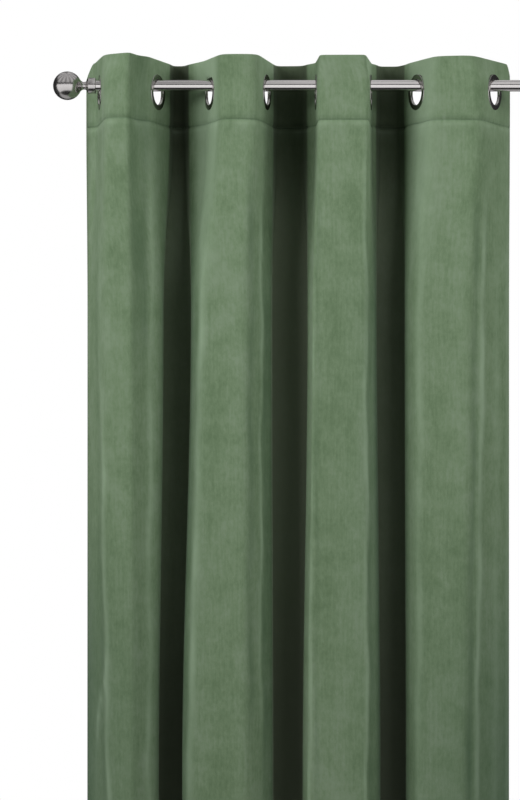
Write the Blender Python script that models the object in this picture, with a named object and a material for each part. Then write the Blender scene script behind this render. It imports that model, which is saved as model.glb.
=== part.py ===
"""A velvet eyelet curtain hanging in its folds on a brushed steel rod with ball finials.

Units are metres. +X runs along the rod to the right, the room is towards -Y, and +Z is up.
The origin is on the rod's axis, halfway between its ends.
"""

import math

import bmesh
import bpy
import numpy as np
from mathutils import Matrix

MM = 0.001
GAP = 0.0003  # between pieces that touch

# Rod and its finials
ROD_RADIUS = 0.009
ROD_WALL = 0.0012
COLLAR_MOUTH_X = 0.350  # from the middle of the rod to the open end of each collar
SOCKET_DEPTH = 0.0135
COLLAR_RADIUS = 0.0125
COLLAR_LENGTH = 0.0118
CONE_END = (0.0155, 0.0066)  # distance from the collar's mouth, radius
NECK = ((0.0168, 0.0061), (0.0196, 0.0060), (0.0223, 0.0071))
BALL_CENTRE = 0.0450  # from the collar's mouth
BALL_RADIUS = 0.0224
BALL_ROOT_RADIUS = 0.0096  # where the ball meets the neck
BALL_STEPS = 9
TURNED_SIDES = 24

# Cloth
FLAT_WIDTH = 1.400
TOP_EDGE_Z = 0.041
HEADING_HEIGHT = 0.100
CURTAIN_LENGTH = 2.500
HEADING_THICKNESS = 0.0030
PANEL_THICKNESS = 0.0018
ARC_STEPS = 3  # facets round each fold corner
CORNER_DROOP = {"left": (0.027, 0.020), "right": (0.018, 0.012)}  # fall, and its reach from the edge

# Eyelets
BORE_RADIUS = 0.020
RIM_RADIUS = 0.028
TUBE_RADIUS = 0.0216  # the part of a ring that passes through the cloth
HOLE_RADIUS = 0.0222
RIM_HEIGHT = 0.0020
BORE_ROUND = 0.0010
RIM_ROUND = 0.0018
ROD_CLEARANCE = 0.0006
CUTTER_LENGTH = 0.024

HEADING_BOTTOM_Z = TOP_EDGE_Z - HEADING_HEIGHT
HEM_Z = TOP_EDGE_Z - CURTAIN_LENGTH
EYELET_Z = ROD_RADIUS + ROD_CLEARANCE - BORE_RADIUS

# Heights at which the plan of the folds is given. Between them it changes smoothly.
UPPER_Z = -0.42
LOWER_Z = -1.10
HEM_RELAX = 0.35  # share of the way that each corner is drawn to its neighbours at the hem

# The plan of the folds, as straight runs of cloth joined by arcs, in millimetres.
# a to d are the front folds and v1 to v3 the back ones between them. The runs that cross y = 0 in
# the heading carry the eyelets. Under the heading, the sides of each back fold close to a slot.
# corner, radius, heading x and y, upper x and y, lower x and y
FOLD_CORNERS = (
    ("left_edge", 0, -369, 58, -366, 44, -366, 40),
    ("left_margin", 12, -351, 50, -360, 28, -361, 24),
    ("a_left", 22, -331, -78, -333, -60, -326, -54),
    ("a_crest", 14, -293, -84, -291, -66, -290, -56),
    ("a_trough", 12, -281, -50, -269, -38, -270, -36),
    ("a_right", 12, -266, -36, -250, -27, -257, -24),
    ("v1_left_lip", 8, -236, 50, -244, -4, -251, -2),
    ("v1_left", 10, -230, 76, -252, 62, -261, 60),
    ("v1_right", 10, -214, 76, -199, 62, -210, 60),
    ("v1_right_lip", 9, -205, 56, -200, 12, -214, 8),
    ("v1_side", 14, -181, 38, -195, -8, -211, -12),
    ("b_left", 20, -151, -66, -180, -52, -197, -46),
    ("b_right", 24, -96, -66, -112, -62, -112, -60),
    ("v2_left_lip", 8, -71, 50, -73, -6, -71, -4),
    ("v2_left", 12, -64, 76, -77, 66, -75, 64),
    ("v2_right", 12, -24, 74, -8, 64, -16, 62),
    ("v2_right_lip", 9, -16, 56, -16, 10, -24, 12),
    ("v2_side", 12, -3, 38, -13, -10, -22, -8),
    ("c_left", 10, -1, -56, -8, -50, -17, -44),
    ("c_right", 12, 77, -58, 73, -52, 76, -50),
    ("v3_side", 12, 86, 46, 87, -12, 94, -10),
    ("v3_left_lip", 8, 94, 58, 92, 4, 98, 6),
    ("v3_left", 10, 101, 80, 90, 68, 96, 64),
    ("v3_right", 10, 130, 80, 147, 66, 150, 62),
    ("v3_right_lip", 9, 141, 58, 137, 10, 139, 8),
    ("d_side", 14, 140, 42, 140, -8, 143, -10),
    ("d_left", 22, 175, -50, 152, -44, 155, -42),
    ("d_right", 28, 251, -54, 236, -52, 226, -50),
    ("right_margin", 14, 299, 46, 295, 8, 295, 6),
    ("right_edge", 0, 308, 64, 305, 46, 305, 44),
)
RADII = np.array([row[1] for row in FOLD_CORNERS]) * MM
HEADING_PLAN, UPPER_PLAN, LOWER_PLAN = (
    np.array([row[first : first + 2] for row in FOLD_CORNERS]) * MM for first in (2, 4, 6)
)

# Heights of the panel's rings of points: close together where the folds change quickly.
PANEL_LEVELS = (
    HEADING_BOTTOM_Z - GAP, -0.12, -0.20, -0.30, UPPER_Z, -0.60, -0.80,
    LOWER_Z, -1.45, -1.80, -2.15, HEM_Z,
)


def clear_scene():
    for old in list(bpy.data.objects):
        bpy.data.objects.remove(old, do_unlink=True)


def material(name, colour, roughness, metallic):
    made = bpy.data.materials.new(name)
    made.use_nodes = True
    shader = made.node_tree.nodes["Principled BSDF"]
    shader.inputs["Base Color"].default_value = (*colour, 1.0)
    shader.inputs["Roughness"].default_value = roughness
    shader.inputs["Metallic"].default_value = metallic
    return made


def add_object(name, points, faces, look, smooth_deg=40.0):
    mesh = bpy.data.meshes.new(name)
    mesh.from_pydata([tuple(point) for point in points], [], faces)
    shape = bmesh.new()
    shape.from_mesh(mesh)
    bmesh.ops.recalc_face_normals(shape, faces=shape.faces)
    shape.to_mesh(mesh)
    shape.free()
    mesh.materials.append(look)
    mesh.shade_smooth()
    mesh.set_sharp_from_angle(angle=math.radians(smooth_deg))
    made = bpy.data.objects.new(name, mesh)
    bpy.context.scene.collection.objects.link(made)
    return made


def ease(start, end, value):
    """0 at start, 1 at end, with no sudden change at either."""
    share = min(max((value - start) / (end - start), 0.0), 1.0)
    return share * share * (3 - 2 * share)


def relaxed(plan):
    """The plan at the hem, where each corner moves towards the middle of its neighbours."""
    between = plan.copy()
    between[1:-1] = (plan[:-2] + plan[2:]) / 2
    return plan + HEM_RELAX * (between - plan)


def corners_at(z):
    """The plan's corners at a height, before their depth is set."""
    plan = HEADING_PLAN + ease(HEADING_BOTTOM_Z, UPPER_Z, z) * (UPPER_PLAN - HEADING_PLAN)
    plan = plan + ease(UPPER_Z, LOWER_Z, z) * (LOWER_PLAN - plan)
    return plan + ease(LOWER_Z, HEM_Z, z) * (relaxed(LOWER_PLAN) - plan)


def rounded(corners):
    """Points along the cloth, left to right: one at each end, and ARC_STEPS + 1 on each corner's arc."""
    points = [corners[0]]
    for before, corner, after, radius in zip(corners, corners[1:], corners[2:], RADII[1:], strict=False):
        back, on = before - corner, after - corner
        back_length, on_length = np.linalg.norm(back), np.linalg.norm(on)
        back, on = back / back_length, on / on_length
        half = math.acos(np.clip(back @ on, -1.0, 1.0)) / 2
        reach = min(radius / math.tan(half), 0.48 * back_length, 0.48 * on_length)
        middle = back + on
        centre = corner + middle / np.linalg.norm(middle) * reach / math.cos(half)
        first, last = corner + back * reach - centre, corner + on * reach - centre
        turn = math.atan2(first[0] * last[1] - first[1] * last[0], first @ last)
        for step in range(ARC_STEPS + 1):
            angle = turn * step / ARC_STEPS
            cosine, sine = math.cos(angle), math.sin(angle)
            spoke = (cosine * first[0] - sine * first[1], sine * first[0] + cosine * first[1])
            points.append(centre + spoke)
    points.append(corners[-1])
    return np.array(points)


def distance_along(points):
    return np.concatenate([[0.0], np.cumsum(np.linalg.norm(np.diff(points, axis=0), axis=1))])


def depth_factor(corners):
    """How far the folds' depth is stretched so that the cloth's width along them is FLAT_WIDTH."""
    low, high = 0.7, 1.6
    for _ in range(40):
        factor = (low + high) / 2
        if distance_along(rounded(corners * (1.0, factor)))[-1] < FLAT_WIDTH:
            low = factor
        else:
            high = factor
    return factor


def section(z):
    corners = corners_at(z)
    return rounded(corners * (1.0, depth_factor(corners)))


def sheet(name, sections, heights, thickness, look):
    """A closed sheet through the sections, each a row of plan points with a height for every point."""
    rows, count = len(sections), len(sections[0])
    points = []
    for plan, height in zip(sections, heights, strict=True):
        along = np.gradient(plan, axis=0)
        along /= np.linalg.norm(along, axis=1, keepdims=True)
        across = np.column_stack([-along[:, 1], along[:, 0]]) * thickness / 2
        for side in (-1, 1):
            points += list(np.column_stack([plan + side * across, height]))

    def at(row, side, column):
        return (row * 2 + side) * count + column

    faces = []
    for row in range(rows - 1):
        for column in range(count - 1):
            for side in (0, 1):
                quad = [(row, column), (row + 1, column), (row + 1, column + 1), (row, column + 1)]
                faces.append([at(r, side, c) for r, c in quad])
        for column in (0, count - 1):
            faces.append([at(row, 0, column), at(row + 1, 0, column), at(row + 1, 1, column), at(row, 1, column)])
    for row in (0, rows - 1):
        for column in range(count - 1):
            faces.append([at(row, 0, column), at(row, 1, column), at(row, 1, column + 1), at(row, 0, column + 1)])
    return add_object(name, points, faces, look)


def lathe(name, profile, sides, look, closed=False):
    """Turns (distance along the axis, radius) points round +X. A radius of 0 is a point on the axis."""
    points, rings, faces = [], [], []
    for along, radius in profile:
        first = len(points)
        number = 1 if radius == 0 else sides
        for step in range(number):
            angle = 2 * math.pi * step / sides
            points.append((along, radius * math.cos(angle), radius * math.sin(angle)))
        rings.append([first + step % number for step in range(sides)])
    pairs = list(zip(rings, rings[1:] + rings[:1], strict=True))
    for one, other in pairs if closed else pairs[:-1]:
        for step in range(sides):
            after = (step + 1) % sides
            corners = [one[step], one[after], other[after], other[step]]
            faces.append(list(dict.fromkeys(corners)))
    return add_object(name, points, faces, look)


def make_heading(look):
    plan = section(HEADING_BOTTOM_Z)
    from_left = distance_along(plan)
    top = np.full(len(plan), TOP_EDGE_Z)
    for side, from_edge in (("left", from_left), ("right", FLAT_WIDTH - from_left)):
        fall, reach = CORNER_DROOP[side]
        top -= fall * np.clip(1 - from_edge / reach, 0, 1) ** 2
    bottom = np.full(len(plan), HEADING_BOTTOM_Z)
    return sheet("heading_band", [plan, plan], [bottom, top], HEADING_THICKNESS, look)


def make_panel(look):
    sections = [section(z) for z in PANEL_LEVELS]
    heights = [np.full(len(plan), z) for plan, z in zip(sections, PANEL_LEVELS, strict=True)]
    return sheet("drop_panel", sections, heights, PANEL_THICKNESS, look)


def eyelet_frames():
    """For each straight run of the heading that crosses the rod's axis, a matrix whose X is its normal."""
    corners = corners_at(HEADING_BOTTOM_Z)
    corners = corners * (1.0, depth_factor(corners))
    for before, after in zip(corners, corners[1:], strict=False):
        if before[1] * after[1] < 0:
            share = before[1] / (before[1] - after[1])
            x = before[0] + share * (after[0] - before[0])
            run = (after - before) / np.linalg.norm(after - before)
            turn = math.atan2(run[1], run[0]) - math.pi / 2
            yield Matrix.Translation((x, 0.0, EYELET_Z)) @ Matrix.Rotation(turn, 4, "Z")


def make_eyelets(heading, ring_look, cloth_look):
    under = HEADING_THICKNESS / 2 + GAP
    half = ((BORE_RADIUS, RIM_HEIGHT - BORE_ROUND), (BORE_RADIUS + BORE_ROUND, RIM_HEIGHT),
            (RIM_RADIUS - RIM_ROUND, RIM_HEIGHT), (RIM_RADIUS, 0.0))
    front = [(under + rise, radius) for radius, rise in half]
    tube = [(under, TUBE_RADIUS), (-under, TUBE_RADIUS)]
    back = [(-along, radius) for along, radius in reversed(front)]
    overshoot = CUTTER_LENGTH / 2
    for number, frame in enumerate(eyelet_frames(), start=1):
        ring = lathe(f"eyelet_{number}", front + tube + back, TURNED_SIDES, ring_look, closed=True)
        ring.matrix_world = frame
        hole = [(-overshoot, 0), (-overshoot, HOLE_RADIUS), (overshoot, HOLE_RADIUS), (overshoot, 0)]
        cutter = lathe(f"hole_cutter_{number}", hole, TURNED_SIDES, cloth_look)
        cutter.matrix_world = frame
        cutter.hide_render = True
        cutter.display_type = "WIRE"
        cut = heading.modifiers.new(f"eyelet hole {number}", "BOOLEAN")
        cut.operation = "DIFFERENCE"
        cut.object = cutter


def make_rod(look):
    end = COLLAR_MOUTH_X + SOCKET_DEPTH - GAP
    inner = ROD_RADIUS - ROD_WALL
    lathe("rod", [(-end, inner), (-end, ROD_RADIUS), (end, ROD_RADIUS), (end, inner)], TURNED_SIDES, look,
          closed=True)


def make_finials(look):
    socket = ROD_RADIUS + GAP
    profile = [(SOCKET_DEPTH, 0), (SOCKET_DEPTH, socket), (0.0, socket), (0.0, COLLAR_RADIUS),
               (COLLAR_LENGTH, COLLAR_RADIUS), CONE_END, *NECK]
    first = math.asin(BALL_ROOT_RADIUS / BALL_RADIUS)
    for step in range(BALL_STEPS + 1):
        angle = first + (math.pi - first) * step / BALL_STEPS
        radius = 0 if step == BALL_STEPS else BALL_RADIUS * math.sin(angle)
        profile.append((BALL_CENTRE - BALL_RADIUS * math.cos(angle), radius))
    for name, turn in (("finial_left", math.pi), ("finial_right", 0.0)):
        finial = lathe(name, profile, TURNED_SIDES, look)
        finial.matrix_world = Matrix.Rotation(turn, 4, "Z") @ Matrix.Translation((COLLAR_MOUTH_X, 0, 0))


def main():
    clear_scene()
    velvet = material("green_velvet", (0.150, 0.215, 0.130), 0.85, 0.0)
    nickel = material("eyelet_nickel", (0.46, 0.45, 0.44), 0.28, 1.0)
    steel = material("brushed_steel", (0.56, 0.53, 0.53), 0.33, 1.0)
    heading = make_heading(velvet)
    make_panel(velvet)
    make_eyelets(heading, nickel, velvet)
    make_rod(steel)
    make_finials(steel)


main()
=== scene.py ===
import math

import bpy
import numpy as np
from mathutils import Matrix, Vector


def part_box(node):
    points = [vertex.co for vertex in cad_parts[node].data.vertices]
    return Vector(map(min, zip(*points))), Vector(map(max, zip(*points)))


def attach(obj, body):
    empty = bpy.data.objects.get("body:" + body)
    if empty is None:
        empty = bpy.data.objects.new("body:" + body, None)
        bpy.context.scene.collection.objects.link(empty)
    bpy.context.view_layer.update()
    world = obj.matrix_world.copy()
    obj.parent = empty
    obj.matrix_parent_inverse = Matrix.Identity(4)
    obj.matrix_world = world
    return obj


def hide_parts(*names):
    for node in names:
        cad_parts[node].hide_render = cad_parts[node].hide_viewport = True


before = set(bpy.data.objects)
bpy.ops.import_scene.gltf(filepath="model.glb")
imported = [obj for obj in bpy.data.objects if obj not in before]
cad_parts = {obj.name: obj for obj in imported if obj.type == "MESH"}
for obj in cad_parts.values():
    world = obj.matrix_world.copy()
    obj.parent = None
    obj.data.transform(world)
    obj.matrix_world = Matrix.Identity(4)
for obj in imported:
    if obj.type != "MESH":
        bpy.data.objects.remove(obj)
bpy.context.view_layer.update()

scene = bpy.context.scene
mm = 0.001

# Heights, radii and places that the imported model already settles.
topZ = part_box("heading_band")[1].z
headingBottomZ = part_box("heading_band")[0].z
headingDepth = topZ - headingBottomZ
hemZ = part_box("drop_panel")[0].z
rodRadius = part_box("rod")[1].z
ringBoxes = [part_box(f"eyelet_{number}") for number in range(1, 9)]
ringCentres = np.array([[(low[axis] + high[axis]) / 2 for axis in range(3)] for low, high in ringBoxes])


def ease(start, end, value):
    # 0 at start and 1 at end, with no sudden change at either: 3 t squared minus 2 t cubed
    share = np.clip((value - start) / (end - start), 0.0, 1.0)
    return share * share * (3 - 2 * share)


def unit(vectors):
    return vectors / np.maximum(np.linalg.norm(vectors, axis=-1, keepdims=True), 1e-12)


def put(tree, kind, sockets=None, **settings):
    node = tree.nodes.new("ShaderNode" + kind)
    for name, value in settings.items():
        setattr(node, name, value)
    for name, value in (sockets or {}).items():
        if isinstance(value, bpy.types.NodeSocket):
            tree.links.new(value, node.inputs[name])
        else:
            node.inputs[name].default_value = value
    return node


def calculate(tree, operation, *values):
    return put(tree, "Math", dict(enumerate(values)), operation=operation).outputs[0]


def blend(tree, share, first, second, **settings):
    # the first colour where share is 0, the second where it is 1
    return put(tree, "Mix", {0: share, 6: first, 7: second}, data_type="RGBA", **settings).outputs[2]


def stretched(tree, place, scale):
    return put(tree, "VectorMath", {0: place, 1: scale}, operation="MULTIPLY").outputs[0]


def noise(tree, place, scale, detail, roughness=0.5):
    sockets = {"Vector": place, "Scale": scale, "Detail": detail, "Roughness": roughness}
    return put(tree, "TexNoise", sockets).outputs[0]


def scaled(colour, factor):
    # a colour made brighter or darker, as a node's four values
    return (*[min(channel * factor, 1) for channel in colour], 1)


def newGroup(name, inputs, outputs):
    tree = bpy.data.node_groups.new(name, "ShaderNodeTree")
    for socket, kind, value in inputs:
        made = tree.interface.new_socket(socket, in_out="INPUT", socket_type="NodeSocket" + kind)
        if value is not None:
            made.default_value = value
    for socket, kind in outputs:
        tree.interface.new_socket(socket, in_out="OUTPUT", socket_type="NodeSocket" + kind)
    return tree, tree.nodes.new("NodeGroupInput").outputs, tree.nodes.new("NodeGroupOutput")


def useGroup(tree, group, sockets=None):
    node = tree.nodes.new("ShaderNodeGroup")
    node.node_tree = group
    for name, value in (sockets or {}).items():
        if isinstance(value, bpy.types.NodeSocket):
            tree.links.new(value, node.inputs[name])
        else:
            node.inputs[name].default_value = value
    return node.outputs


def newMaterial(name, colour):
    made = bpy.data.materials.new(name)
    made.use_nodes = True
    made.diffuse_color = (*colour, 1.0)
    return made, made.node_tree, made.node_tree.nodes["Principled BSDF"]


def addPiece(name, points, faces, looks, lookOfFace=None):
    mesh = bpy.data.meshes.new(name)
    mesh.from_pydata(points.tolist(), [], faces)
    for look in looks:
        mesh.materials.append(look)
    if lookOfFace is not None:
        mesh.polygons.foreach_set("material_index", lookOfFace.astype(np.int32))
    mesh.shade_smooth()
    mesh.update()
    made = bpy.data.objects.new(name, mesh)
    scene.collection.objects.link(made)
    return made


def turned(profile, origin, axis, sides, closed):
    # surface of revolution: origin + distance along the axis + radius times (cosine, sine) round it;
    # a radius of 0 is one shared point
    axis = unit(np.array(axis, float))
    across = unit(np.cross(axis, (0.0, 0.0, 1.0)))
    other = np.cross(axis, across)
    profile = np.array(profile, float)
    angle = np.linspace(0, 2 * np.pi, sides, endpoint=False)
    spoke = np.cos(angle)[:, None] * across + np.sin(angle)[:, None] * other
    points = np.asarray(origin) + profile[:, 0, None, None] * axis + profile[:, 1, None, None] * spoke
    index = np.arange(len(profile) * sides).reshape(len(profile), sides)
    index[profile[:, 1] == 0] = index[profile[:, 1] == 0][:, :1]
    rows = np.vstack([index, index[:1]]) if closed else index
    after = np.roll(rows, -1, axis=1)
    quads = np.stack([rows[:-1], after[:-1], after[1:], rows[1:]], axis=-1).reshape(-1, 4)
    used, inverse = np.unique(quads, return_inverse=True)
    inverse = inverse.reshape(-1, 4)
    return points.reshape(-1, 3)[used], [list(dict.fromkeys(face)) for face in inverse.tolist()]


def arcPoints(centre, radius, start, end, steps):
    # points on an arc in the profile's plane, angles in degrees from the axis direction
    angle = np.radians(np.linspace(start, end, steps))
    return [(centre[0] + radius * math.cos(a), centre[1] + radius * math.sin(a)) for a in angle]


def outward(points, faces):
    # six times the volume inside the faces, as a sum over their first corners;
    # a negative one means that they face inwards
    corners = np.array([face[:3] for face in faces])
    a, b, c = (points[corners[:, i]] for i in range(3))
    volume = np.einsum("ij,ij->i", a, np.cross(b, c)).sum()
    return faces if volume > 0 else [face[::-1] for face in faces]


view = {
    "place": (-0.0915, -3.84, -0.495),
    "lens": 109.7, "sensor": 36.0,
}
light = {
    "ambient": 0.14, "spread": 110.0, "aim": (0.0, 0.0, -0.20),
    # name, place, size in metres, watts
    "lamps": (
        ("left_front", (-2.05, -1.95, 0.65), 1.5, 21.2),
        ("right_front", (1.45, -2.3, 0.65), 1.5, 8.7),
        ("left_side", (-2.40, -1.00, 0.80), 1.1, 4.2),
        ("right_side", (2.20, -1.05, 0.80), 1.1, 9.4),
        ("behind", (0.8, 3.6, 1.4), 2.2, 85.0),
    ),
    # brightness of what the metal mirrors, from 0 straight down to 1 straight up, on the room's side and behind
    "frontBands": ((0.0, 0.04), (0.13, 0.04), (0.17, 0.95), (0.555, 1.25),
                   (0.57, 0.03), (0.665, 0.03), (0.69, 0.62), (1.0, 0.70)),
    "behindBands": ((0.0, 0.50), (0.12, 0.50), (0.19, 0.04), (0.76, 0.04), (0.84, 0.62), (1.0, 0.70)),
    "bars": 9.0, "barDark": 0.45, "barBright": 1.15,  # upright bars overhead, all the way round
}
floorDisc = {
    "colour": (0.80, 0.80, 0.78), "roughness": 0.9,
    "radius": 2.4, "sides": 64, "gap": 0.004,  # gap below the hem
}


def makeCamera():
    data = bpy.data.cameras.new("camera")
    data.lens = view["lens"]
    data.sensor_width = view["sensor"]
    camera = bpy.data.objects.new("camera", data)
    camera.location = view["place"]
    camera.rotation_euler = (math.pi / 2, 0.0, 0.0)
    scene.collection.objects.link(camera)
    scene.camera = camera


def addLight(name, place, size, watts):
    data = bpy.data.lights.new(name, "AREA")
    data.size = size
    data.energy = watts
    data.spread = math.radians(light["spread"])
    made = bpy.data.objects.new(name, data)
    made.visible_glossy = False
    made.location = place
    towards = Vector(light["aim"]) - Vector(place)
    made.rotation_euler = towards.to_track_quat("-Z", "Y").to_euler()
    scene.collection.objects.link(made)


def addRamp(tree, value, stops):
    ramp = put(tree, "ValToRGB", {0: value})
    marks = ramp.color_ramp.elements
    for _ in stops[2:]:
        marks.new(0.5)
    for mark, (position, shade) in zip(marks, stops):
        mark.position = position
        mark.color = (shade, shade, shade, 1.0)
    return ramp.outputs["Color"]


def makeWorld():
    world = bpy.data.worlds.new("studio")
    scene.world = world
    world.use_nodes = True
    tree = world.node_tree
    tree.nodes.clear()
    direction = put(tree, "TexCoord").outputs["Generated"]
    parts = put(tree, "SeparateXYZ", {0: direction}).outputs
    level = calculate(tree, "MULTIPLY_ADD", parts[2], 0.5, 0.5)
    front = addRamp(tree, level, light["frontBands"])
    behind = addRamp(tree, level, light["behindBands"])
    around = calculate(tree, "MULTIPLY", calculate(tree, "ARCTAN2", parts[0], parts[1]), light["bars"])
    wave = calculate(tree, "SINE", around)
    bars = put(tree, "MapRange", {0: wave, 1: -0.7, 2: 0.7, 3: light["barDark"], 4: light["barBright"]}).outputs[0]
    high = put(tree, "MapRange", {0: parts[2], 1: 0.30, 2: 0.45}).outputs[0]
    isBehind = put(tree, "MapRange", {0: parts[1], 1: -0.08, 2: 0.08}).outputs[0]
    both = blend(tree, isBehind, front, behind)
    barred = blend(tree, 1.0, both, bars, blend_type="MULTIPLY")
    mirrored = blend(tree, high, both, barred)
    rays = put(tree, "LightPath").outputs
    soft = (light["ambient"],) * 3 + (1.0,)
    byRay = blend(tree, rays["Is Glossy Ray"], soft, mirrored)
    shown = blend(tree, rays["Is Camera Ray"], byRay, (1, 1, 1, 1))
    background = put(tree, "Background", {0: shown, 1: 1.0})
    out = put(tree, "OutputWorld")
    tree.links.new(background.outputs[0], out.inputs[0])


def makeFloor():
    look, tree, shader = newMaterial("floor_pale", floorDisc["colour"])
    shader.inputs["Base Color"].default_value = (*floorDisc["colour"], 1)
    shader.inputs["Roughness"].default_value = floorDisc["roughness"]
    sides, radius = floorDisc["sides"], floorDisc["radius"]
    angle = np.linspace(0, 2 * np.pi, sides, endpoint=False)
    heights = np.full(sides, hemZ - floorDisc["gap"])
    rim = np.stack([radius * np.cos(angle), radius * np.sin(angle), heights], axis=1)
    floor = addPiece("floor", rim, [list(range(sides))], [look])
    floor.visible_glossy = False


makeCamera()
makeWorld()
makeFloor()
for lamp in light["lamps"]:
    addLight(*lamp)
scene.view_settings.view_transform = "Standard"
scene.view_settings.look = "None"
print("camera, floor and light done")


velvet = {
    "pile": (0.164, 0.236, 0.139),
    "brushed": (0.214, 0.286, 0.192),
    "shade": (0.114, 0.176, 0.094),
    "paintedHighlight": (0.300, 0.400, 0.275),  # painted highlight along the crest of a crease, on the band below the sewn line and on walls near the heading
    "paintedTroughShade": (0.075, 0.125, 0.070),  # painted shade along the foot of a crease and on the band above the sewn line
    "paintedDeepShade": (0.036, 0.040, 0.027),  # painted shade inside a back fold of the heading, low in the back folds and along the side edges
    "paintedFoldLight": (0.215, 0.245, 0.180),  # painted light: a lighter, warmer colour inside a back fold lower down
    "paintedLipShade": (0.040, 0.085, 0.050),  # painted shade where a wall turns into a back fold, on the outer edges low down and in the sewn groove
    "reverse": (0.130, 0.185, 0.110),
    "thread": (0.120, 0.175, 0.100),
    "sheen": 0.22, "sheenRoughness": 0.45, "sheenTint": (0.52, 0.66, 0.50),
    "roughness": 0.85, "specular": 0.12, "clouding": 0.8,
    "reverseRoughness": 0.8, "reverseSpecular": 0.2, "reverseClouding": 0.5, "reverseSpread": 0.15,
    "threadRoughness": 0.6, "threadTwist": 1600.0, "threadSpread": 0.3,
    # noises that make up the nap: squeeze along the fall of the cloth, scale, detail, roughness, share
    "nap": {
        "patches": (1.00, 24.0, 4.0, 0.60, 0.30),
        "clouds": (0.16, 13.0, 3.0, 0.55, 0.32),
        "mottle": (0.45, 180.0, 3.0, 0.70, 0.24),
        "streaks": (0.05, 260.0, 3.0, 0.60, 0.14),
    },
}


def cloudGroup():
    # a base colour that turns brighter or darker as slow and fine noises add up
    tree, given, out = newGroup(
        "nap clouds",
        [("Map", "Vector", None), ("Base", "Color", (0.2, 0.2, 0.2, 1)), ("Brushed", "Color", (0.3, 0.3, 0.3, 1)),
         ("Shade", "Color", (0.1, 0.1, 0.1, 1)), ("Amount", "Float", 1.0)],
        [("Colour", "Color")])
    mixed = 0.0
    for squeeze, scale, detail, roughness, share in velvet["nap"].values():
        layer = noise(tree, stretched(tree, given["Map"], (1.0, squeeze, 1.0)), scale, detail, roughness)
        mixed = calculate(tree, "MULTIPLY_ADD", layer, share, mixed)
    tone = put(tree, "MapRange", {0: mixed, 1: 0.40, 2: 0.60, 3: -1.0, 4: 1.0}).outputs[0]
    tone = calculate(tree, "MULTIPLY", tone, given["Amount"])
    up = calculate(tree, "MAXIMUM", tone, 0.0)
    down = calculate(tree, "MAXIMUM", calculate(tree, "MULTIPLY", tone, -1.0), 0.0)
    done = blend(tree, down, blend(tree, up, given["Base"], given["Brushed"]), given["Shade"])
    tree.links.new(done, out.inputs["Colour"])
    return tree


def pileGroup():
    # fine grain on top of wide crushed places, both as height
    tree, given, out = newGroup(
        "velvet pile",
        [("Map", "Vector", None), ("Grain", "Float", 700.0), ("Height", "Float", 0.0004),
         ("Crush", "Float", 0.0006)],
        [("Normal", "Vector")])
    grain = noise(tree, given["Map"], given["Grain"], 2.0)
    crush = noise(tree, stretched(tree, given["Map"], (1.0, 0.3, 1.0)), 34.0, 3.0)
    wide = put(tree, "Bump", {"Strength": 0.6, "Distance": given["Crush"], "Height": crush}).outputs[0]
    sockets = {"Strength": 0.5, "Distance": given["Height"], "Height": grain, "Normal": wide}
    tree.links.new(put(tree, "Bump", sockets).outputs[0], out.inputs["Normal"])
    return tree


def weaveGroup():
    # height from the product of two sines, one across the cloth and one along it
    tree, given, out = newGroup(
        "plain weave",
        [("Map", "Vector", None), ("Threads", "Float", 1100.0), ("Height", "Float", 0.0002)],
        [("Normal", "Vector")])
    place = put(tree, "SeparateXYZ", {0: given["Map"]}).outputs
    pace = calculate(tree, "MULTIPLY", given["Threads"], 6.28)  # one whole wave for each thread
    warp, weft = (calculate(tree, "SINE", calculate(tree, "MULTIPLY", place[axis], pace)) for axis in (0, 1))
    mask = calculate(tree, "MULTIPLY_ADD", calculate(tree, "MULTIPLY", warp, weft), 0.5, 0.5)
    bump = put(tree, "Bump", {"Strength": 0.5, "Distance": given["Height"], "Height": mask}).outputs[0]
    tree.links.new(bump, out.inputs["Normal"])
    return tree


clouds, pile, weave = cloudGroup(), pileGroup(), weaveGroup()


def makeVelvet():
    look, tree, shader = newMaterial("velvet_face", velvet["pile"])
    place = put(tree, "UVMap", uv_map="clothMap").outputs[0]
    tone = useGroup(tree, clouds, {
        "Map": place, "Base": (*velvet["pile"], 1), "Brushed": (*velvet["brushed"], 1),
        "Shade": (*velvet["shade"], 1), "Amount": velvet["clouding"]})
    surface = useGroup(tree, pile, {"Map": place})
    # painted shade and painted light of the folds, edges, creases and sewn line, mixed over the nap's colour
    share = put(tree, "Attribute", attribute_name="foldShade").outputs["Fac"]
    tint = put(tree, "Attribute", attribute_name="paintedShadingTint").outputs["Color"]
    tree.links.new(blend(tree, share, tone["Colour"], tint), shader.inputs["Base Color"])
    tree.links.new(surface["Normal"], shader.inputs["Normal"])
    shader.inputs["Roughness"].default_value = velvet["roughness"]
    shader.inputs["Specular IOR Level"].default_value = velvet["specular"]
    shader.inputs["Sheen Weight"].default_value = velvet["sheen"]
    shader.inputs["Sheen Roughness"].default_value = velvet["sheenRoughness"]
    shader.inputs["Sheen Tint"].default_value = (*velvet["sheenTint"], 1)
    return look


def makeReverse():
    look, tree, shader = newMaterial("velvet_reverse", velvet["reverse"])
    place = put(tree, "UVMap", uv_map="clothMap").outputs[0]
    base, change = velvet["reverse"], velvet["reverseSpread"]
    tone = useGroup(tree, clouds, {
        "Map": place, "Base": (*base, 1), "Brushed": scaled(base, 1 + change), "Shade": scaled(base, 1 - change),
        "Amount": velvet["reverseClouding"]})
    surface = useGroup(tree, weave, {"Map": place})
    tree.links.new(tone["Colour"], shader.inputs["Base Color"])
    tree.links.new(surface["Normal"], shader.inputs["Normal"])
    shader.inputs["Roughness"].default_value = velvet["reverseRoughness"]
    shader.inputs["Specular IOR Level"].default_value = velvet["reverseSpecular"]
    return look


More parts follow.
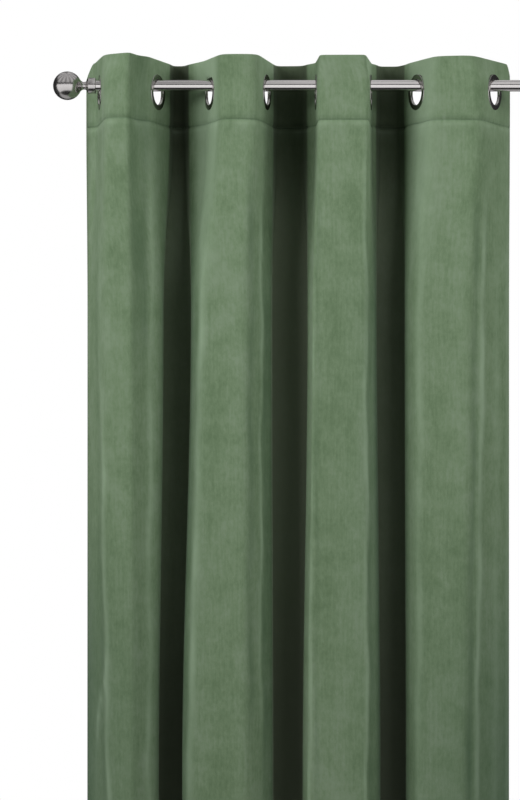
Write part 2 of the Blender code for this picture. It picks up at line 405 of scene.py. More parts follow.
def makeThread():
    look, tree, shader = newMaterial("sewing_thread", velvet["thread"])
    twist = noise(tree, put(tree, "TexCoord").outputs["Object"], velvet["threadTwist"], 2.0)
    base, change = velvet["thread"], velvet["threadSpread"]
    tone = blend(tree, twist, scaled(base, 1 - change), scaled(base, 1 + change))
    bump = put(tree, "Bump", {"Strength": 0.4, "Distance": 0.0001, "Height": twist}).outputs[0]
    tree.links.new(tone, shader.inputs["Base Color"])
    tree.links.new(bump, shader.inputs["Normal"])
    shader.inputs["Roughness"].default_value = velvet["threadRoughness"]
    return look


velvetLook, reverseLook, threadLook = makeVelvet(), makeReverse(), makeThread()

cloth = {
    "flatWidth": 1.400, "flatLength": 2.500,
    "columns": 436, "fineColumns": 801,
    "half": 0.0009, "headingHalf": 0.0012,  # half the thickness of one layer and of the heading
    "sideHem": 0.022, "bottomHem": 0.080, "hemExtra": 0.0009,
    "edgeRounding": 0.0026, "holeRadius": 0.0236,
    "sharpBlur": 0.0045, "roundBlur": 0.0120,
    "upperZ": -0.36, "lowerZ": -1.10, "hemRelax": 0.35,
    # how far the top corners hang down, and how far in along the top edge
    "leftDroop": (0.027, 0.018), "rightDroop": (0.020, 0.014), "droopDepth": 0.085,
    "swell": 0.0006,  # slow unevenness below the heading
}
# The sewn line along the bottom of the heading, in metres
seam = {
    "wander": ((0.0007, 23, 1.3), (0.0005, 71, 0.0)),  # size, waves and start of each drift
    "sink": 0.0010, "sinkAbove": 0.0055, "sinkBelow": 0.0038,
    "groove": 0.0009, "grooveWidth": 0.0016,
    "pucker": 0.00035, "puckerReach": 0.009,
    "turning": 0.0005, "turningRise": 0.012, "turningWidth": 0.004,  # edge of the cloth turned in above the line
}

# Plan of the folds, seen from above: straight runs joined at corners, in millimetres.
# name, rounding, then x and y in the heading, at upperZ and at lowerZ
foldCorners = (
    ("leftEdge", 0, -369, 58, -366, 44, -366, 40),
    ("leftMargin", 12, -351, 50, -360, 28, -361, 24),
    ("aLeft", 22, -331, -78, -333, -60, -326, -54),
    ("aCrest", 14, -293, -84, -291, -66, -290, -56),
    ("aTrough", 12, -281, -50, -269, -38, -270, -36),
    ("aRight", 12, -266, -36, -250, -27, -257, -24),
    ("v1LeftLip", 8, -236, 50, -244, -4, -251, -2),
    ("v1Left", 10, -230, 76, -252, 62, -261, 60),
    ("v1Right", 10, -214, 76, -199, 62, -210, 60),
    ("v1RightLip", 9, -205, 56, -200, 12, -214, 8),
    ("v1Side", 14, -177, 24, -195, -8, -211, -12),
    ("bLeft", 20, -151, -66, -180, -52, -197, -46),
    ("bRight", 24, -96, -66, -112, -62, -112, -60),
    ("v2LeftLip", 8, -71, 50, -73, -6, -71, -4),
    ("v2Left", 12, -64, 76, -77, 66, -75, 64),
    ("v2Right", 12, -24, 74, -8, 64, -16, 62),
    ("v2RightLip", 9, -16, 56, -16, 10, -24, 12),
    ("v2Side", 12, -3, 38, -13, -10, -22, -8),
    ("cLeft", 10, -1, -56, -8, -50, -17, -44),
    ("cRight", 12, 77, -58, 73, -52, 76, -50),
    ("v3Side", 12, 86, 46, 87, -12, 94, -10),
    ("v3LeftLip", 8, 94, 58, 92, 4, 98, 6),
    ("v3Left", 10, 101, 80, 90, 68, 96, 64),
    ("v3Right", 10, 130, 80, 147, 66, 150, 62),
    ("v3RightLip", 9, 141, 58, 137, 10, 139, 8),
    ("dSide", 14, 140, 42, 140, -8, 143, -10),
    ("dLeft", 22, 175, -50, 152, -44, 155, -42),
    ("dRight", 28, 251, -54, 236, -52, 226, -50),
    ("rightMargin", 14, 299, 46, 295, 8, 295, 6),
    ("rightEdge", 0, 308, 64, 305, 46, 305, 44),
)

# How far some corners lean at the very top edge, x and y in millimetres
topLean = {
    "leftMargin": (-4, -4), "aLeft": (-2, 19), "cRight": (-5, 0), "v1Side": (-3, -8), "cLeft": (3, 0),
    "dSide": (6, -3), "dLeft": (8, 8), "dRight": (-13, 3),
}

creaseFade = 60  # how far a crease fades in and out at its ends, in millimetres
paintedCreaseWidth = 8  # only creases narrower than this get a painted highlight or painted shade
# Soft lines and dents in the front folds. Positive depth stands out, negative sinks in.
# x at the top and at the bottom of the line, its two heights, half width, depth, all in millimetres
creases = (
    (-344, -324, -200, -1180, 3.6, 1.3),
    (-351, -333, -200, -1180, 4, -1.2),
    (-358, -350, -160, -1180, 3, 0.8),
    (-327, -352, -900, -1050, 4, 2.0),
    (-310, -306, -150, -900, 14, -1.2),
    (-287, -284, 100, -420, 7.5, -1.1),
    (-273, -271, 100, -420, 7.5, -1.3),
    (-262, -266, -160, -1150, 4, 1.0),
    (-179, -204, -160, -1180, 6, 1.7),
    (-188, -211, -300, -1180, 4, -0.8),
    (-150, -160, -120, -900, 16, -1.3),
    (-104, -106, -150, -1000, 5, -1.3),
    (-90, -92, -150, -1000, 2.6, 1.2),
    (-84, -85, -150, -1150, 4, -1.2),
    (-9, -14, -130, -1180, 3.4, 1.3),
    (-1, -5, -130, -1180, 3.4, -0.8),
    (34, 30, -150, -900, 16, -1.0),
    (72, 74, -130, -1180, 3.0, 1.3),
    (78, 82, -130, -1180, 4.0, -1.4),
    (158, 156, -160, -1150, 5, 0.9),
    (257, 243, -200, -1180, 4.5, 1.7),
    (247, 234, -200, -1180, 6, -1.3),
    (200, 196, -120, -800, 18, -1.0),
    (285, 278, -120, -1180, 6, 0.8),
)

cornerNames = [row[0] for row in foldCorners]


def spread(start, end, count):
    return np.linspace(start, end, count, endpoint=False)


# distance below the top edge of each row of points, close together at the edges and round the stitching
edgeSteps = np.array([0.0, 0.0004, 0.0012, 0.0026])
rowDrops = np.concatenate([
    edgeSteps, spread(0.005, 0.092, 18), spread(0.092, 0.110, 18), spread(0.110, 0.300, 12),
    spread(0.300, 1.180, 30), spread(1.180, 2.400, 16), spread(2.400, 2.497, 8),
    cloth["flatLength"] - edgeSteps[::-1]])
columnPlaces = np.concatenate([
    edgeSteps, np.linspace(0.005, cloth["flatWidth"] - 0.005, cloth["columns"]),
    cloth["flatWidth"] - edgeSteps[::-1]])


def cornersAt(z):
    # the plan's corners at each height, eased from one given plan to the next
    table = np.array([row[1:] for row in foldCorners]) * mm
    plans = [np.stack([table[:, first], table[:, first + 1], table[:, 0]], axis=1) for first in (1, 3, 5)]
    relaxed = plans[2].copy()
    relaxed[1:-1] = (plans[2][:-2] + plans[2][2:]) / 2
    relaxed[:, 2] = plans[2][:, 2]
    z = np.asarray(z, float)[:, None, None]
    plan = plans[0] + ease(headingBottomZ, cloth["upperZ"], z) * (plans[1] - plans[0])
    plan = plan + ease(cloth["upperZ"], cloth["lowerZ"], z) * (plans[2] - plan)
    nearTop = ease(-0.005, topZ, z[:, :, 0])
    for name, lean in topLean.items():
        plan[:, cornerNames.index(name), :2] += nearTop * np.array(lean) * mm
    hem = plans[2] + cloth["hemRelax"] * (relaxed - plans[2])
    return plan + ease(cloth["lowerZ"], hemZ, z) * (hem - plan)


def walk(corners, count):
    # each row's corners joined by straight runs and walked at an even pace:
    # start + sum over runs of (share walked) times (run)
    runs = np.diff(corners, axis=1)
    lengths = np.linalg.norm(runs[..., :2], axis=2)
    ends = np.cumsum(lengths, axis=1)
    walked = np.linspace(0, 1, count)[None, :] * ends[:, -1:]
    done = np.clip((walked[:, :, None] - (ends - lengths)[:, None, :]) / lengths[:, None, :], 0, 1)
    return corners[:, :1] + np.einsum("rcs,rsk->rck", done, runs)


def blurred(path, sigma):
    # each point becomes a bell-weighted average of its neighbours along the row;
    # a row goes on past its ends as its own reversed image, so the ends stay put
    reach = int(3 * sigma + 1)
    before = 2 * path[:, :1] - path[:, reach:0:-1]
    after = 2 * path[:, -1:] - path[:, -2:-reach - 2:-1]
    longer = np.concatenate([before, path, after], axis=1)
    weights = np.exp(-0.5 * (np.arange(-reach, reach + 1) / sigma) ** 2)
    weights /= weights.sum()
    return sum(weight * longer[:, step:step + path.shape[1]] for step, weight in enumerate(weights))


def deepened(corners, factor):
    # the plan's corners with their depth, y, multiplied by each row's factor
    one = np.ones_like(factor)
    return corners * np.stack([one, factor, one], axis=-1)[:, None, :]


def softPath(corners, factor):
    # straight runs with rounded corners: a mix of a light blur and a strong one, by each corner's rounding
    count = cloth["fineColumns"]
    pace = cloth["flatWidth"] / (count - 1)
    path = walk(deepened(corners, factor), count)
    sharp = blurred(path[..., :2], cloth["sharpBlur"] / pace)
    rounder = blurred(path[..., :2], cloth["roundBlur"] / pace)
    return sharp + ease(0.008, 0.026, path[..., 2:]) * (rounder - sharp)


def pathLength(path):
    return np.linalg.norm(np.diff(path, axis=1), axis=2).sum(axis=1)


def foldPaths(z):
    # the folds' depth is stretched, by halving the interval, until the cloth measures its flat width along them
    corners = cornersAt(z)
    low, high = np.full(len(z), 0.7), np.full(len(z), 1.7)
    for _ in range(12):
        middle = (low + high) / 2
        short = pathLength(softPath(corners, middle)) < cloth["flatWidth"]
        low, high = np.where(short, middle, low), np.where(short, high, middle)
    return softPath(corners, (low + high) / 2), corners, (low + high) / 2


def sampled(rows, places):
    # straight-line reading between the fine columns
    at = places / cloth["flatWidth"] * (rows.shape[1] - 1)
    first = np.minimum(at.astype(int), rows.shape[1] - 2)
    share = (at - first)[:, None]
    return rows[:, first] * (1 - share) + rows[:, first + 1] * share


def ripple(s, z, seed):
    # slow uneven swell: a sum of a few sines of different slants
    total = np.zeros(np.broadcast(s, z).shape)
    for number in range(5):
        turn = seed * 1.7 + number * 2.4
        total = total + np.sin(s * (9 + 7.3 * number) + z * (2.1 + 1.7 * math.sin(turn)) + turn) / (1 + 0.5 * number)
    return total / 3


def seamDrift(s):
    return sum(size * np.sin(s * waves + start) for size, waves, start in seam["wander"])


def hump(distance, width, power=2):
    # 1 at a distance of 0, falling away on both sides: e to the minus (distance over width) to a power
    return np.exp(-(np.abs(distance) / width) ** power)


def shapeCloth():
    # middle of the cloth: the plan at each height, its top corners hanging down
    # sides: middle + or - the normal times half the thickness, plus creases, swell and the sewn groove
    s, drop = np.meshgrid(columnPlaces, rowDrops)
    paths, corners, factor = foldPaths(topZ - rowDrops)
    z = topZ - drop
    for (fall, reach), fromEdge in ((cloth["leftDroop"], s), (cloth["rightDroop"], cloth["flatWidth"] - s)):
        inwards = np.clip(1 - fromEdge / reach, 0, 1) ** 1.7
        z = z - fall * inwards * np.clip(1 - drop / cloth["droopDepth"], 0, 1) ** 1.5
    middle = np.dstack([sampled(paths, columnPlaces), z])
    normal = unit(np.cross(np.gradient(middle, axis=0), np.gradient(middle, axis=1)))

    # the listed creases, only where the cloth faces the room
    x, height = middle[..., 0] / mm, z / mm
    facing = ease(0.10, 0.50, -normal[..., 1]) * ease(5 * mm, -15 * mm, middle[..., 1])
    relief, paintedCreaseLines = np.zeros_like(x), np.zeros_like(x)
    for xTop, xBottom, zTop, zBottom, width, depth in creases:
        line = xTop + np.clip((height - zTop) / (zBottom - zTop), 0, 1) * (xBottom - xTop)
        line = line + 1.6 * np.sin(height / 47 + xTop) + 0.9 * np.sin(height / 19 + xBottom)
        begun = ease(zTop + creaseFade, zTop - creaseFade, height)
        ended = ease(zBottom + creaseFade, zBottom - creaseFade, height)
        bend = depth * mm * hump(x - line, width) * begun * (1 - ended) * facing
        uneven = 0.7 + 0.3 * np.sin(height / 83 + xTop * 1.7) * np.sin(height / 37 + xBottom)
        relief = relief + bend
        # a narrow crease's crest gets a painted highlight and its foot painted shade, as colour
        paintedCreaseLines = paintedCreaseLines + bend * uneven / (1.5 * mm) * (width < paintedCreaseWidth)
    relief = relief + ease(0.10, 0.30, drop) * cloth["swell"] * ripple(s, z, 1.0)

    # stitched line along the bottom of the heading, with small puckers on both sides
    fromLine = drop - headingDepth - seamDrift(s)
    pucker = np.sin(s * 640 + 2.2 * np.sin(s * 91)) * 0.55 + np.sin(s * 410 + 1.1) * 0.45
    relief = relief - seam["sink"] * hump(fromLine, np.where(fromLine < 0, seam["sinkAbove"], seam["sinkBelow"]))
    groove = -seam["groove"] * hump(fromLine, seam["grooveWidth"])
    groove = groove + seam["pucker"] * pucker * hump(fromLine, seam["puckerReach"], 1.5)
    groove = groove - seam["turning"] * hump(fromLine + seam["turningRise"], seam["turningWidth"])

    # thickness, rounded off at the outer edges as a quarter circle, with the hems turned over to the back
    fromSide = np.minimum(s, cloth["flatWidth"] - s)
    edge = np.minimum.reduce([drop, cloth["flatLength"] - drop, fromSide])
    rounding = np.sqrt(np.clip(1 - (1 - np.clip(edge / cloth["edgeRounding"], 0, 1)) ** 2, 0, 1))
    heading = 1 - ease(-0.002, 0.002, fromLine)
    sideHem = 1 - ease(-0.001, 0.001, fromSide - cloth["sideHem"])
    bottomHem = ease(-0.001, 0.001, drop - (cloth["flatLength"] - cloth["bottomHem"]))
    front = cloth["half"] + heading * (cloth["headingHalf"] - cloth["half"])
    back = front + np.maximum(sideHem, bottomHem) * cloth["hemExtra"] * (1 - heading)
    relief = relief * np.clip(edge / 0.01, 0, 1)
    groove = groove * np.clip(edge / 0.004, 0, 1)
    frontSide = middle + normal * (rounding * front + relief + groove)[..., None]
    backSide = middle - normal * (rounding * back - relief)[..., None]
    return middle, frontSide, backSide, corners, factor, paintedCreaseLines


def ringFacings(corners, factor):
    # the level normal of each straight run of the heading that passes through the rod's axis
    row = np.searchsorted(rowDrops, 0.082)  # a row of the heading that is below the lean at the top
    points = deepened(corners, factor)[row, :, :2]
    before, after = points[:-1], points[1:]
    run = unit(after - before)[before[:, 1] * after[:, 1] < 0]
    return np.stack([run[:, 1], -run[:, 0], 0 * run[:, 0]], axis=1)


middle, frontSide, backSide, corners, factor, paintedCreaseLines = shapeCloth()
ringNormals = ringFacings(corners, factor)
print("cloth shaped", middle.shape, "depth factors", factor[[0, 40, 80, -1]].round(3), "rings", len(ringNormals))

# Painted shade in the back folds and beside them. Each wall beside a back fold gets painted shade that darkens
# towards it by a share over a reach in metres, and brushed is the share of painted light on the right wall near the
# heading.
paintedFoldShade = {
    "v1": {"paintedDeepShade": 0.86, "paintedFoldLight": 0.50, "leftWall": (0.36, 0.013), "rightWall": (0.60, 0.024), "brushed": 0.60},
    "v2": {"paintedDeepShade": 0.76, "paintedFoldLight": 0.76, "leftWall": (0.50, 0.018), "rightWall": (0.30, 0.010), "brushed": 0.0},
    "v3": {"paintedDeepShade": 0.76, "paintedFoldLight": 0.58, "leftWall": (0.72, 0.030), "rightWall": (0.40, 0.014), "brushed": 0.50},
}
# How much painted shade the outer edges get low down: share, reach, height where it starts and where it is full
paintedSideShade = {"left": (0.62, 0.080, -0.60, -0.95), "right": (0.78, 0.110, -0.55, -1.15)}
# Painted shade and painted highlights along the sewn line and the creases: share, place below the line, width
paintedSeamShading = {"paintedLipShade": (0.30, 0.0, 0.0012), "paintedTroughShade": (0.26, -0.0050, 0.0032), "paintedHighlight": (0.34, 0.0065, 0.0042)}
paintedCreaseShading = {"paintedHighlight": 0.72, "paintedTroughShade": 0.58}


def paintedFoldShading():
    # each painted shade or painted light has a weight and a colour; share is the sum of the weights, and tint their
    # weighted mean colour
    runs = np.linalg.norm(np.diff(deepened(corners, factor)[..., :2], axis=1), axis=2)
    ends = np.concatenate([0 * runs[:, :1], np.cumsum(runs, axis=1)], axis=1)
    ends = ends / ends[:, -1:] * cloth["flatWidth"]
    height = middle[..., 2]
    inHeading = ease(headingBottomZ - 0.20, headingBottomZ, height)
    nearHeading = ease(headingBottomZ - 0.30, headingBottomZ - 0.04, height)
    weights = {name: np.zeros_like(height) for name in ("paintedDeepShade", "paintedFoldLight", "paintedLipShade", "paintedTroughShade", "paintedHighlight")}
    for valley, tone in paintedFoldShade.items():
        first = ends[:, cornerNames.index(valley + "LeftLip"), None]
        last = ends[:, cornerNames.index(valley + "RightLip"), None]
        inside = ease(-0.004, 0.003, columnPlaces - first) * ease(-0.004, 0.003, last - columnPlaces)
        # painted shade that deepens in the back folds towards the bottom
        low = ease(-0.70, -1.05, height) * (1 - tone["paintedFoldLight"]) * 0.5
        weights["paintedDeepShade"] += inside * (inHeading * tone["paintedDeepShade"] + low)
        weights["paintedFoldLight"] += inside * (1 - inHeading) * tone["paintedFoldLight"]
        away = {"leftWall": first - columnPlaces, "rightWall": columnPlaces - last}
        for wall, distance in away.items():
            most, reach = tone[wall]
            fade = np.exp(-np.maximum(distance, 0) / reach) * (distance > 0)
            weights["paintedLipShade"] += (1 - inside) * most * (1 - 0.92 * nearHeading) * fade
        # painted light on the right wall of a back fold near the heading
        paintedLightStart = ease(0.006, 0.030, away["rightWall"])
        paintedLightEnd = ease(0.070, 0.100, away["rightWall"] - 0.020 * inHeading)
        weights["paintedHighlight"] += paintedLightStart * (1 - paintedLightEnd) * nearHeading * tone["brushed"]
    for side, fromSide in (("left", columnPlaces), ("right", cloth["flatWidth"] - columnPlaces)):
        most, reach, start, full = paintedSideShade[side]
        lowest = 1 - 0.85 * ease(-1.2, -1.8, height)  # fades again towards the hem
        # painted shade on the outermost few millimetres of each side, and on the outer edges low down
        weights["paintedDeepShade"] += 0.35 * (1 - ease(0.002, 0.007, fromSide))
        weights["paintedLipShade"] += most * np.exp(-fromSide / reach) * ease(start, full, height) * lowest
    swell = 0.6 + 0.25 * np.sin(columnPlaces * 97 + 0.4) + 0.15 * np.sin(columnPlaces * 231)
    # painted shade in the sewn groove and in a band above it, and a painted highlight on a band below it
    for name, (most, below, width) in paintedSeamShading.items():
        uneven = 1.0 if name == "paintedLipShade" else swell
        weights[name] += most * hump(rowDrops[:, None] - headingDepth - below, width) * uneven
    # painted highlight on the crests of narrow creases and painted shade at their feet
    weights["paintedHighlight"] += paintedCreaseShading["paintedHighlight"] * np.clip(paintedCreaseLines, 0, 1)
    weights["paintedTroughShade"] += paintedCreaseShading["paintedTroughShade"] * np.clip(-paintedCreaseLines, 0, 1)
    total = sum(weights.values())
    tint = sum(weight[..., None] * np.array(velvet[name]) for name, weight in weights.items())
    return np.clip(total, 0, 1), tint / np.maximum(total, 1e-6)[..., None]


def makeCurtain():
    # front and back share their outer edge, and a wall joins them round each hole
    rows, columns = middle.shape[:2]
    onEdge = np.zeros((rows, columns), bool)
    onEdge[[0, -1]] = onEdge[:, [0, -1]] = True
    frontIndex = np.arange(rows * columns).reshape(rows, columns)
    backIndex = np.where(onEdge, frontIndex, frontIndex + rows * columns)
    points = np.concatenate([frontSide.reshape(-1, 3), backSide.reshape(-1, 3)])
    centre = (middle[:-1, :-1] + middle[1:, 1:] + middle[:-1, 1:] + middle[1:, :-1]) / 4
    away = np.linalg.norm(centre[:, :, None] - ringCentres, axis=3).min(axis=2)
    kept = away > cloth["holeRadius"]

    def quads(index, flip):
        stack = [index[:-1, :-1], index[1:, :-1], index[1:, 1:], index[:-1, 1:]]
        return np.stack(stack[::-1] if flip else stack, axis=-1)[kept]

    def walls(hole, solid, one, other):
        # one and other are the edge's ends, in the solid face's own direction
        around = (frontIndex[other], frontIndex[one], backIndex[one], backIndex[other])
        return np.stack([index[~hole & solid] for index in around], axis=-1)

    up, down = kept[:-1], kept[1:]
    left, right = kept[:, :-1], kept[:, 1:]
    rowA, rowB = (slice(1, -1), slice(None, -1)), (slice(1, -1), slice(1, None))
    colA, colB = (slice(None, -1), slice(1, -1)), (slice(1, None), slice(1, -1))
    faces = [quads(frontIndex, False), quads(backIndex, True),
             walls(down, up, rowA, rowB), walls(up, down, rowB, rowA),
             walls(right, left, colB, colA), walls(left, right, colA, colB)]
    sizes = [len(part) for part in faces]
    allFaces = np.concatenate(faces)
    used, inverse = np.unique(allFaces, return_inverse=True)
    allFaces = inverse.reshape(-1, 4)
    lookOfFace = np.concatenate([np.zeros(sizes[0]), np.ones(sizes[1]), np.zeros(sum(sizes[2:]))])
    # the heading and the hems are the same velvet turned over to the back
    s, drop = np.meshgrid((columnPlaces[:-1] + columnPlaces[1:]) / 2, (rowDrops[:-1] + rowDrops[1:]) / 2)
    inHem = drop > cloth["flatLength"] - cloth["bottomHem"]
    inHem |= np.minimum(s, cloth["flatWidth"] - s) < cloth["sideHem"]
    turnedOver = (drop < headingDepth) | inHem
    lookOfFace[sizes[0]:sizes[0] + sizes[1]] = np.where(turnedOver[kept], 0, 1)

    made = addPiece("velvetCurtain", points[used], allFaces.tolist(), [velvetLook, reverseLook], lookOfFace)
    mesh = made.data
    flat = np.stack(np.meshgrid(columnPlaces, -rowDrops), axis=-1).reshape(-1, 2)
    flat = np.concatenate([flat, flat])[used]
    corner = np.empty(len(mesh.loops), np.int32)
    mesh.loops.foreach_get("vertex_index", corner)
    layer = mesh.uv_layers.new(name="clothMap")
    layer.uv.foreach_set("vector", flat[corner].astype(np.float32).ravel())
    share, tint = paintedFoldShading()
    share = np.concatenate([share.ravel(), 0 * share.ravel()])[used]  # no painted shade or painted light at the back
    tint = np.concatenate([tint.reshape(-1, 3), tint.reshape(-1, 3)])[used]
    tint = np.column_stack([tint, np.ones(len(tint))])
    shadeLayer = mesh.attributes.new("foldShade", "FLOAT", "POINT")
    shadeLayer.data.foreach_set("value", share.astype(np.float32))
    tintLayer = mesh.attributes.new("paintedShadingTint", "FLOAT_COLOR", "POINT")
    tintLayer.data.foreach_set("color", tint.astype(np.float32).ravel())
    return made


curtain = makeCurtain()
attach(curtain, "root")
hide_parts("heading_band", "drop_panel")
print("curtain made", len(curtain.data.polygons), "faces")

headingLine, hemLine = 0.100, cloth["flatLength"] - cloth["bottomHem"]  # down from the top edge
stitch = {
    "length": 0.0027, "pitch": 0.0036, "radius": 0.00022, "sides": 6, "margin": 0.004,
    "bow": 0.00030, "sink": 0.00008,  # how far a stitch stands off the cloth, and its ends dip into it
    # each sewn line and whether it shows at the front or at the back
    "lines": ((headingLine, "front"), (headingLine, "back"), (hemLine, "front"), (hemLine, "back")),
}


def onCloth(grid, s, drop):
    # straight-line reading of a grid of points between its rows and its columns
    row = np.interp(drop, rowDrops, np.arange(len(rowDrops)))
    column = np.interp(s, columnPlaces, np.arange(len(columnPlaces)))
    r, c = np.minimum(row.astype(int), len(rowDrops) - 2), np.minimum(column.astype(int), len(columnPlaces) - 2)
    down, across = (row - r)[..., None], (column - c)[..., None]
    return (grid[r, c] * (1 - down) * (1 - across) + grid[r + 1, c] * down * (1 - across)
            + grid[r, c + 1] * (1 - down) * across + grid[r + 1, c + 1] * down * across)


def makeStitches():
    # each stitch is a short closed tube that bows off the cloth: centre + bow times (1 - t squared) outwards,
    # radius times (cosine, sine) round it, and t from -1 to 1 along it
    t = np.array([-1.0, -0.55, 0.0, 0.55, 1.0])
    thickness = np.array([0.35, 0.9, 1.0, 0.9, 0.35])[None, :, None, None]
    angle = np.linspace(0, 2 * np.pi, stitch["sides"], endpoint=False)
    outwards = unit(frontSide - backSide)
    parts = []
    for line, side in stitch["lines"]:
        along = np.arange(stitch["margin"], cloth["flatWidth"] - stitch["margin"], stitch["pitch"])
        s = along[:, None] + t * stitch["length"] / 2
        drop = line + (seamDrift(s) if line == headingLine else 0 * s)
        out = onCloth(outwards, s, drop) * (1 if side == "front" else -1)
        centre = onCloth(frontSide if side == "front" else backSide, s, drop)
        centre = centre + out * (stitch["bow"] * (1 - t ** 2) - stitch["sink"])[None, :, None]
        forward = unit(np.gradient(centre, axis=1))
        beside = unit(np.cross(forward, out))
        spoke = np.cos(angle)[:, None] * out[:, :, None] + np.sin(angle)[:, None] * beside[:, :, None]
        parts.append(centre[:, :, None] + stitch["radius"] * thickness * spoke)
    points = np.concatenate(parts)
    count, steps, sides = points.shape[:3]
    index = np.arange(count * steps * sides).reshape(count, steps, sides)
    after = np.roll(index, -1, axis=2)
    quads = np.stack([index[:, :-1], after[:, :-1], after[:, 1:], index[:, 1:]], axis=-1).reshape(-1, 4)
    faces = quads.tolist() + index[:, 0, ::-1].tolist() + index[:, -1].tolist()
    first = [face for face in faces if max(face) < steps * sides]
    if outward(points.reshape(-1, 3) - points[0].mean(axis=(0, 1)), first) is not first:
        faces = [face[::-1] for face in faces]
    piece = addPiece("seamStitches", points.reshape(-1, 3), faces, [threadLook])
    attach(piece, "root")
    return piece


stitches = makeStitches()
print("stitches made", len(stitches.data.polygons), "faces")


metal = {
    "nickel": (0.50, 0.49, 0.47), "nickelRoughness": 0.20,
    "steel": (0.66, 0.635, 0.63), "turned": (0.54, 0.52, 0.515), "rodRoughness": 0.13, "finialRoughness": 0.20,
    "dark": 0.90, "bright": 1.08,  # between the brushed lines and on them
}


def brushedGroup():
    # noise drawn out into lines, as height and as a change of roughness
    tree, given, out = newGroup(
        "brushed lines",
        [("Along", "Vector", (1.0, 0.02, 0.02)), ("Scale", "Float", 900.0), ("Rough", "Float", 0.25),
         ("Height", "Float", 0.00005), ("Line change", "Float", 0.08), ("Broad change", "Float", 0.04)],
        [("Normal", "Vector"), ("Roughness", "Float"), ("Mask", "Float")])
    place = put(tree, "TexCoord").outputs["Object"]
    lines = noise(tree, stretched(tree, place, given["Along"]), given["Scale"], 3.0, 0.6)
    broad = noise(tree, place, 60.0, 2.0)
    bump = put(tree, "Bump", {"Strength": 0.5, "Distance": given["Height"], "Height": lines}).outputs[0]
    rough = given["Rough"]
    for layer, change in ((lines, given["Line change"]), (broad, given["Broad change"])):
        rough = calculate(tree, "MULTIPLY_ADD", calculate(tree, "SUBTRACT", layer, 0.5), change, rough)
    tree.links.new(bump, out.inputs["Normal"])
    tree.links.new(rough, out.inputs["Roughness"])
    tree.links.new(lines, out.inputs["Mask"])
    return tree


brushed = brushedGroup()


def makeMetal(name, colour, rough, along, height):
    look, tree, shader = newMaterial(name, colour)
    surface = useGroup(tree, brushed, {"Along": along, "Rough": rough, "Height": height})
    tone = blend(tree, surface["Mask"], scaled(colour, metal["dark"]), scaled(colour, metal["bright"]))
    tree.links.new(tone, shader.inputs["Base Color"])
    tree.links.new(surface["Normal"], shader.inputs["Normal"])
    tree.links.new(surface["Roughness"], shader.inputs["Roughness"])
    shader.inputs["Metallic"].default_value = 1.0
    return look


# name, colour, roughness, how the brushed lines are drawn out along each axis, and their height in metres
nickelLook = makeMetal("eyelet_nickel", metal["nickel"], metal["nickelRoughness"], (0.3, 0.3, 1.0), 0.000006)
rodLook = makeMetal("rod_steel", metal["steel"], metal["rodRoughness"], (0.02, 1.0, 1.0), 0.000006)
finialLook = makeMetal("finial_steel", metal["turned"], metal["finialRoughness"], (1.0, 0.08, 0.08), 0.000008)

ring = {
    "bore": 0.020, "rim": 0.028, "tube": 0.0216,  # tube: the barrel that goes through the cloth
    "under": 0.0013, "rise": 0.0009, "boreRound": 0.0007, "rimRound": 0.00085, "sides": 88,
    "waist": 0.0003, "face": (0.0023, 0.0035, 0.0047),  # radii beyond the bore, at its middle and on the face
}


def ringProfile():
    # half of a pressed ring, from the bore over a flat face to the rolled rim, then its mirror image
    under, bore, rim = ring["under"], ring["bore"], ring["rim"]
    boreRound, rimRound = ring["boreRound"], ring["rimRound"]
    top = under + ring["rise"]
    half = [(0.0, bore + ring["waist"]), (under / 2, bore + ring["waist"] / 3), (under, bore)]
    half += arcPoints((top - boreRound, bore + boreRound), boreRound, 270, 360, 6)
    half += [(top, bore + beyond) for beyond in ring["face"]]
    half += arcPoints((under + 0.00005, rim - rimRound), rimRound, 0, 90, 7)
    half += [(under, rim - 0.0004), (under, ring["tube"])]
    mirrored = [(-along, radius) for along, radius in reversed(half[1:])]
    return half + mirrored


def makeRings():
    profile = ringProfile()
    for number, (centre, facing) in enumerate(zip(ringCentres, ringNormals), start=1):
        points, faces = turned(profile, centre, facing, ring["sides"], closed=True)
        piece = addPiece(f"eyeletRing{number}", points, outward(points - centre, faces), [nickelLook])
        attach(piece, "root")
        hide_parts(f"eyelet_{number}")
        yield piece


rings = list(makeRings())

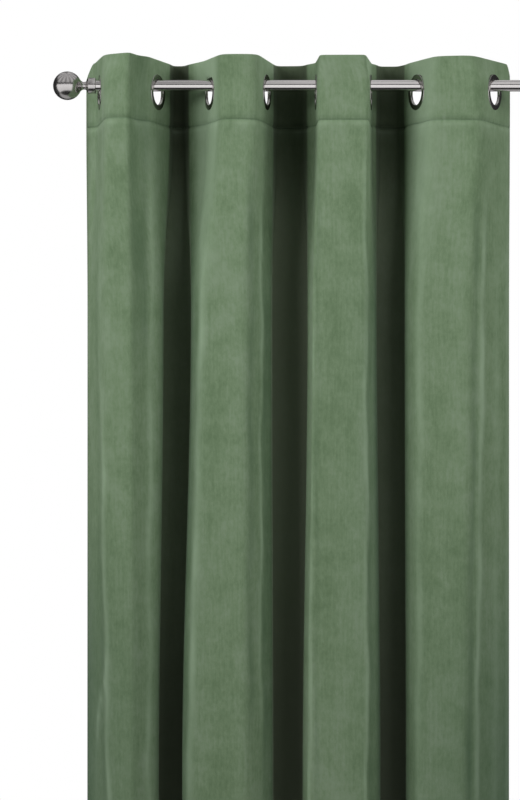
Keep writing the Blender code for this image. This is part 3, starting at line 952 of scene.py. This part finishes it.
finial = {
    "mouth": 0.350, "socket": 0.0135, "socketRadius": 0.0093, "mouthRound": 0.0004,
    "collarRadius": 0.0125, "collarLength": 0.0118, "collarRound": 0.0007,
    "neck": ((0.0155, 0.0066), (0.0168, 0.0061), (0.0196, 0.0060), (0.0223, 0.0071)),
    "ballCentre": 0.0450, "ballRadius": 0.0224, "ballRoot": 0.0096, "sides": 96,
}
rod = {"wall": 0.0012, "chamfer": 0.0003, "clearance": 0.0003, "sides": 96}


def finialProfile():
    # distance out from the mouth and radius: socket, collar, neck, then a ball of cosine and sine
    f, corner = finial, finial["collarRound"]
    socketRadius, collarRadius = f["socketRadius"], f["collarRadius"]
    points = [(f["socket"], 0.0), (f["socket"], socketRadius), (rod["chamfer"], socketRadius),
              (0.0, socketRadius + f["mouthRound"]), (0.0, collarRadius - corner)]
    points += arcPoints((corner, collarRadius - corner), corner, 180, 90, 5)[1:]
    points += arcPoints((f["collarLength"] - corner, collarRadius - corner), corner, 90, 30, 5)
    points += list(f["neck"])
    start = math.degrees(math.asin(f["ballRoot"] / f["ballRadius"]))
    points += [(f["ballCentre"] - f["ballRadius"] * math.cos(a), f["ballRadius"] * math.sin(a))
               for a in np.radians(np.linspace(start, 180, 40))][:-1]
    return points + [(f["ballCentre"] + f["ballRadius"], 0.0)]


def makeFinials():
    for name, node, side in (("finialLeft", "finial_left", -1.0), ("finialRight", "finial_right", 1.0)):
        mouth = (side * finial["mouth"], 0, 0)
        points, faces = turned(finialProfile(), mouth, (side, 0, 0), finial["sides"], closed=False)
        piece = addPiece(name, points, outward(points - points.mean(axis=0), faces), [finialLook])
        piece.visible_shadow = False  # keeps the light even on the cloth beside it
        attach(piece, "root")
        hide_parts(node)


def makeRod():
    # a tube with its ends chamfered, a little short of the bottom of each finial's socket
    chamfer = rod["chamfer"]
    end = finial["mouth"] + finial["socket"] - rod["clearance"]
    inner = rodRadius - rod["wall"]
    profile = [(-end, inner), (-end, rodRadius - chamfer), (-end + chamfer, rodRadius)]
    profile += [(x, rodRadius) for x in np.linspace(-finial["mouth"], finial["mouth"], 15)]
    profile += [(end - chamfer, rodRadius), (end, rodRadius - chamfer), (end, inner)]
    points, faces = turned(profile, (0, 0, 0), (1, 0, 0), rod["sides"], closed=True)
    piece = addPiece("curtainRod", points, outward(points, faces), [rodLook])
    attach(piece, "root")
    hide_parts("rod")


makeFinials()
makeRod()
print("metal made")
